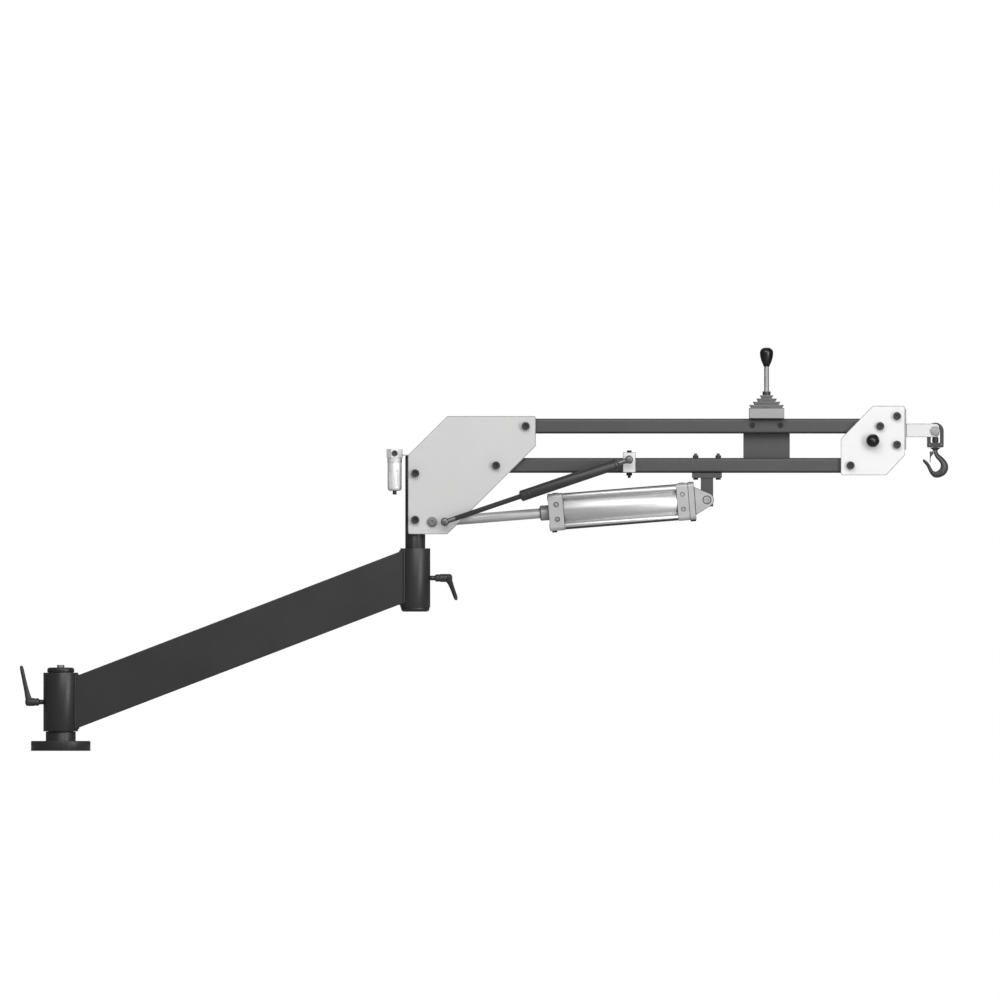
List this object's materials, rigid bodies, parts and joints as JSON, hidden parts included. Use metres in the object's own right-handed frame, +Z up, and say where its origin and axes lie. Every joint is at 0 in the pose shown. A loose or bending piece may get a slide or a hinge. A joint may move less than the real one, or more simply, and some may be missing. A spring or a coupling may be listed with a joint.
{
  "type": "load manipulator",
  "caption": "Column-mounted load manipulator: swivelling beam, mast and parallelogram arm with air cylinder, gas spring, joystick and a level head with a swivel hook",
  "frame": {"origin": "centre of the floor flange's underside, on the spindle's axis", "axes": "+Z up along the spindle, +X along the beam and the arm towards the hook, +Y away from the side with the gas spring"},
  "size_m": [1.8566, 0.1215, 0.8066],
  "materials": {
    "charcoal_paint": "satin",
    "grey_paint": "satin",
    "light_plate": "satin",
    "white_plate": "satin",
    "steel": "brushed",
    "black_steel": "black oxide",
    "zinc": "zinc plated",
    "chromed": "polished",
    "bronze": "plain",
    "alloy": "anodised",
    "cast_alloy": "cast",
    "light_plastic": "matte",
    "grey_plastic": "matte",
    "black_plastic": "gloss",
    "dark_plastic": "matte",
    "grey_rubber": "matte",
    "cast_hook": "cast"
  },
  "bodies": {
    "base": {"base_flange": "charcoal_paint", "base_post": "steel", "hub_cap": "charcoal_paint", "cap_bolt": "zinc"},
    "lower_arm": {"lower_hub": "charcoal_paint", "hub_bushes": "bronze", "arm_beam": "charcoal_paint", "upper_hub": "charcoal_paint", "upper_hub_cap": "charcoal_paint"},
    "lower_lever": {"lower_lever": "charcoal_paint", "lower_lever_stud": "black_steel"},
    "upper_lever": {"upper_lever": "charcoal_paint", "upper_lever_stud": "black_steel"},
    "mast": {"mast_post": "charcoal_paint", "near_side_plate": "light_plate", "far_side_plate": "light_plate", "plate_bolts": "black_steel", "rod_pin_screws": "zinc", "gas_spring_lower_stud": "zinc", "filter_bracket": "zinc", "filter_head": "light_plastic", "filter_bowl": "light_plastic", "filter_guard": "light_plastic", "filter_drain": "dark_plastic"},
    "lower_bar": {"lower_bar": "grey_paint", "lower_bar_bushes": "bronze", "clamp_block": "white_plate", "clamp_block_screw": "zinc", "gas_spring_upper_stud": "zinc", "cylinder_bracket": "grey_paint", "bracket_bolts": "black_steel"},
    "upper_bar": {"upper_bar": "grey_paint", "upper_bar_bushes": "bronze", "valve_plate": "grey_paint", "valve_screws": "black_steel", "joystick_housing": "grey_plastic", "joystick_bellows": "grey_rubber"},
    "joystick": {"joystick_stem": "chromed", "joystick_knob": "black_plastic"},
    "cylinder": {"cylinder_barrel": "alloy", "front_cap": "cast_alloy", "rear_cap": "cast_alloy", "cylinder_clevis": "cast_alloy", "clevis_pin": "zinc", "cap_screws": "zinc", "port_plugs": "dark_plastic"},
    "piston_rod": {"piston_rod": "chromed", "rod_end": "zinc"},
    "gas_tube": {"gas_spring_tube": "black_steel"},
    "gas_rod": {"gas_spring_rod": "black_steel"},
    "head": {"near_head_plate": "white_plate", "far_head_plate": "white_plate", "head_block": "light_plate", "boom_fork": "white_plate", "head_bolts": "black_steel", "guide_knob": "black_plastic", "hook_bolt": "zinc"},
    "hook_bow": {"hook_bow": "cast_hook"},
    "hook": {"hook": "cast_hook"},
    "latch": {"latch": "zinc"}
  },
  "joints": [
    {"name": "base_swivel", "type": "hinge", "parent": "base", "child": "lower_arm", "pos_m": [0, 0, 0.0978], "axis": [0, 0, 1], "continuous": true},
    {"name": "base_clamp", "type": "hinge", "parent": "lower_arm", "child": "lower_lever", "pos_m": [-0.06, 0, 0.0978], "axis": [-1, 0, 0], "range_deg": [-90, 90]},
    {"name": "mast_swivel", "type": "hinge", "parent": "lower_arm", "child": "mast", "pos_m": [0.709, 0, 0.3458], "axis": [0, 0, 1], "continuous": true},
    {"name": "mast_clamp", "type": "hinge", "parent": "lower_arm", "child": "upper_lever", "pos_m": [0.77, 0, 0.3458], "axis": [1, 0, 0], "range_deg": [-35, 90]},
    {"name": "arm_lift", "type": "hinge", "parent": "mast", "child": "lower_bar", "pos_m": [0.8708, 0, 0.571], "axis": [0, -1, 0], "range_deg": [-30, 24]},
    {"name": "upper_bar_pivot", "type": "hinge", "parent": "mast", "child": "upper_bar", "pos_m": [0.93, 0, 0.6496], "axis": [0, -1, 0], "range_deg": [-30, 24]},
    {"name": "head_level", "type": "hinge", "parent": "lower_bar", "child": "head", "pos_m": [1.5798, 0, 0.571], "axis": [0, -1, 0], "range_deg": [-24, 30]},
    {"name": "cylinder_pivot", "type": "hinge", "parent": "lower_bar", "child": "cylinder", "pos_m": [1.2924, 0, 0.502], "axis": [0, -1, 0], "range_deg": [-6.5, 8]},
    {"name": "rod_slide", "type": "slide", "parent": "cylinder", "child": "piston_rod", "axis": [-0.9968, 0, -0.0801], "range_m": [-0.0585, 0.047]},
    {"name": "gas_tube_pivot", "type": "hinge", "parent": "lower_bar", "child": "gas_tube", "pos_m": [1.137, -0.051, 0.5826], "axis": [0, -1, 0], "range_deg": [-8.5, 10.5]},
    {"name": "gas_rod_pivot", "type": "hinge", "parent": "mast", "child": "gas_rod", "pos_m": [0.7679, -0.051, 0.4578], "axis": [0, -1, 0], "range_deg": [-20.5, 16.5]},
    {"name": "joystick_tilt", "type": "hinge", "parent": "upper_bar", "child": "joystick", "pos_m": [1.4116, 0, 0.6798], "axis": [0, 1, 0], "range_deg": [-12, 12], "stiffness_Nm_per_rad": 3, "deforming": ["joystick_bellows"]},
    {"name": "hook_swing", "type": "hinge", "parent": "head", "child": "hook_bow", "pos_m": [1.7492, 0, 0.6399], "axis": [0, -1, 0], "range_deg": [-25, 25]},
    {"name": "hook_swivel", "type": "hinge", "parent": "hook_bow", "child": "hook", "pos_m": [1.7492, 0, 0.6069], "axis": [0, 0, 1], "continuous": true},
    {"name": "latch_hinge", "type": "hinge", "parent": "hook", "child": "latch", "pos_m": [1.7452, 0, 0.5979], "axis": [0, -1, 0], "range_deg": [0, 30], "stiffness_Nm_per_rad": 0.02, "springref_deg": -11.46}
  ],
  "couplings": [
    {"joint": "upper_bar_pivot", "follows": "arm_lift", "ratio": 1},
    {"joint": "head_level", "follows": "arm_lift", "ratio": -1},
    {"joint": "cylinder_pivot", "follows": "arm_lift", "ratio": -0.252},
    {"joint": "rod_slide", "follows": "arm_lift", "m_per_rad": 0.111},
    {"joint": "gas_tube_pivot", "follows": "arm_lift", "ratio": -0.3365},
    {"joint": "gas_rod_pivot", "follows": "arm_lift", "ratio": 0.6635}
  ]
}
